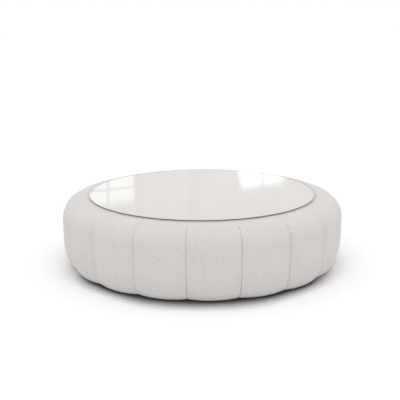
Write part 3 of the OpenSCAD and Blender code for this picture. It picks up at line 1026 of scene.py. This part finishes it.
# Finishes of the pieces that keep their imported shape

finishOf = {
    "deck_board": plywood, "top_board": plywood, "base_board": plywood, "wall_panel": hardboard,
    "rail_x": timberX, "rail_y": timberY, "post": timberZ, "inner_post": timberZ,
    "deck_dowels": timberZ, "frame_dowels": timberZ,
    "top_screws": zinc, "base_screws": zinc, "foot_screws": zinc, "foot": nylon}
for name, node in nodes.items():
    family = name.rstrip("0123456789").rstrip("_")   # post_1 to post_8 share one finish
    finish = finishOf.get(family)
    if finish:
        node.data.materials.clear()
        node.data.materials.append(finish)


# Surroundings: soft white light from all round, windows far off that the glass mirrors, and a white floor
# with a painted contact shadow

lightForm = dict(
    skyLow=0.72,          # light from near the horizon
    skyHigh=1.12,         # light from overhead
    room=(0.947, 0.902, 0.877),   # what the glass mirrors between the windows
    leftWindow=(1.29, 1.30, 1.28),
    rightWindow=(1.58, 1.58, 1.56),
)

# The windows' edges as slopes sideways and upwards of the mirrored line of sight. Bars and low edges slant,
# and an edge with two values fades between them.
windowForm = dict(
    barSlant=-0.10, lowSlant=-0.17,
    left=(-0.200, -0.0952), leftHigh=0.150, leftLow=(0.2191, 0.2319), leftMullion=-0.1315, leftBar=0.2128,
    right=((0.0459, 0.0552), (0.1242, 0.1102)), rightHigh=0.100, rightLow=(0.2458, 0.2300),
    rightLean=0.22, rightPivot=0.212, rightMullion=0.0843,
    barWidth=0.0030, leftBars=0.65, rightBars=0.55, softness=0.0020,
    frames=((-0.0920, -0.0835), (-0.0160, -0.0040)), frameShade=0.05, farSide=(0.05, 0.06), farShade=0.012)


def makeWorld():
    # Light that grows with height, white for the camera, and for mirrored rays a room with eight walls and
    # two windows. The largest of four sizes says which wall a direction meets and how far ahead it is.
    look, form = lightForm, windowForm
    world = bpy.data.worlds.new("softRoom")
    bpy.context.scene.world = world
    finish = Finish(world)
    x, y, z = finish.split(finish.place("Generated"))
    a, b = (x + y) * math.sqrt(0.5), (y - x) * math.sqrt(0.5)
    straight, slanting = finish.maths("MAXIMUM", abs(x), abs(y)), finish.maths("MAXIMUM", abs(a), abs(b))
    ahead = finish.maths("MAXIMUM", straight, slanting)
    nearly = ahead - 0.00001
    side = x * (abs(y) > nearly) + y * (abs(x) > nearly) + a * (abs(b) > nearly) + b * (abs(a) > nearly)
    side, rise = side / ahead, z / ahead
    barLevel, lowLevel = rise - side * form["barSlant"], rise - side * form["lowSlant"]

    def within(value, low, high):
        # One between low and high and zero outside, with soft edges.
        soft = form["softness"]
        inside = finish.remap(value, high - soft, high + soft, 1, 0)
        return finish.remap(value, low - soft, low + soft) * inside

    def bar(value, at, strength):
        width = form["barWidth"]
        return 1.0 - strength * finish.remap(abs(value - at), width * 0.3, width, 1, 0)

    def glow(value, none, full):
        # The square of the share of the way from none to full, as light spreads round a bright edge.
        return finish.remap(value, none, full) ** 2.0

    leftPane = within(side, *form["left"]) * (rise > form["leftHigh"])
    leftPane = leftPane * finish.remap(lowLevel, *form["leftLow"], 1, 0)
    leftPane = leftPane * bar(side, form["leftMullion"], form["leftBars"])
    leftPane = leftPane * bar(barLevel, form["leftBar"], form["leftBars"])
    leaning = side - (rise - form["rightPivot"]) * form["rightLean"]
    rightPane = glow(leaning, *form["right"][0]) * glow(side, *form["right"][1])
    rightPane = rightPane * (rise > form["rightHigh"]) * glow(lowLevel, *form["rightLow"])
    rightPane = rightPane * bar(side, form["rightMullion"], form["rightBars"])
    frames = within(side, *form["frames"][0]) + within(side, *form["frames"][1])
    shade = 1.0 - frames * form["frameShade"] - finish.remap(side, *form["farSide"], 0.0, form["farShade"])
    mirrored = finish.blendColours(leftPane, finish.shaded(look["room"], shade), look["leftWindow"])
    mirrored = finish.blendColours(rightPane, mirrored, look["rightWindow"])
    sky = finish.remap(z, 0.0, 1.0, look["skyLow"], look["skyHigh"])
    colour = finish.blendColours(finish.rays("Glossy", "Transmission"), finish.grey(sky), mirrored)
    colour = finish.blendColours(finish.rays("Camera"), colour, (1.0, 1.0, 1.0))
    finish.output(finish.node("ShaderNodeBackground", None, {"Color": colour, "Strength": 1.0}))


floorForm = dict(
    colour=0.84,
    seen=1.07,            # brightness that the camera and mirrored rays see
    size=60.0,
    sunk=0.0002,          # below the glides
    # the camera sees a painted contact shadow on the floor; these set its reach, its depth and its shape
    # round the table
    paintedShadowReach=0.12,    # how far from the table its contact shadow is felt
    darkest=0.07,         # what the shadow leaves of the brightness under the table
    # The rest change from one value to another between two shares of the way round from the front to a side:
    fullOpen=(0.40, 0.75, 0.33, 0.21),        # how open the floor is where the shadow is full
    noneOpen=(0.25, 0.60, 0.96, 0.79),        # how open it is where the shadow ends
    noneOpenSide=(0.85, 0.97, 0.0, 0.11),     # what is added to that close to the side
    sideFade=(0.72, 1.02, 0.0, 0.86),         # how much the whole shadow fades
)


def makeFloor():
    # A flat disc in rings. Seen by the camera, it carries a painted contact shadow: its brightness follows
    # how open the sky is above each point, with the limits eased round the table; for all other rays it is
    # plain.
    form = floorForm
    finish = newFinish("paleFloor")
    seen = finish.rays("Camera", "Glossy", "Transmission")
    openShare = finish.node("ShaderNodeAmbientOcclusion", {"samples": 8}, {"Distance": form["paintedShadowReach"]},
                            output=1)
    x, y, _ = finish.split(finish.place())
    sideways = abs(x) / finish.maths("SQRT", x ** 2.0 + y ** 2.0 + 0.0001)

    def ease(value, low, high, newLow, newHigh):
        return finish.node("ShaderNodeMapRange", {"interpolation_type": "SMOOTHSTEP"},
                           {0: value, 1: low, 2: high, 3: newLow, 4: newHigh})
    noneOpen = ease(sideways, *form["noneOpen"]) + ease(sideways, *form["noneOpenSide"])
    bright = form["seen"]
    # painted shadow in the colour that the camera sees
    shade = ease(openShare, ease(sideways, *form["fullOpen"]), noneOpen, form["darkest"] * bright, bright)
    shade = shade + ease(sideways, *form["sideFade"]) * (bright - shade)
    colour = finish.blendColours(seen, (form["colour"],) * 3, finish.grey(shade))
    finish.output(finish.node("ShaderNodeBsdfDiffuse", None, {"Color": colour}))
    ring = np.concatenate([[0.0], np.geomspace(0.8, form["size"], 8)])
    floor = spin("studioFloor", np.stack([ring, 0 * ring - form["sunk"]], 1), 96)
    if floor.data.polygons[0].normal.z < 0:
        floor.data.flip_normals()
    floor.data.materials.append(finish.owner)


makeWorld()
makeFloor()


# Camera, as the photograph was taken; the view is turned left, tipped down and rolled by small angles

cameraForm = dict(
    place=(0.0, -3.1095, 1.0000),
    yaw=-0.0030, pitch=0.2367, roll=-0.0045,   # radians
    focalPixels=734.6, framePixels=400, sensorWidth=36.0)


def makeCamera():
    form = cameraForm
    yaw, pitch, roll = form["yaw"], form["pitch"], form["roll"]
    ahead = np.array([math.sin(yaw) * math.cos(pitch), math.cos(yaw) * math.cos(pitch), -math.sin(pitch)])
    right = np.array([math.cos(yaw), -math.sin(yaw), 0.0])
    up = np.cross(right, ahead)
    turned = right * math.cos(roll) + up * math.sin(roll)
    upright = up * math.cos(roll) - right * math.sin(roll)
    data = bpy.data.cameras.new("photoCamera")
    data.sensor_width = form["sensorWidth"]
    data.lens = form["focalPixels"] * form["sensorWidth"] / form["framePixels"]
    data.clip_end = 200
    camera = addObject("photoCamera", data)
    matrix = np.eye(4)
    matrix[:3, 0], matrix[:3, 1], matrix[:3, 2], matrix[:3, 3] = turned, upright, -ahead, form["place"]
    camera.matrix_world = Matrix(matrix.tolist())
    bpy.context.scene.camera = camera


makeCamera()
bpy.context.scene.view_settings.view_transform = "Standard"
print("room, lights and camera made")
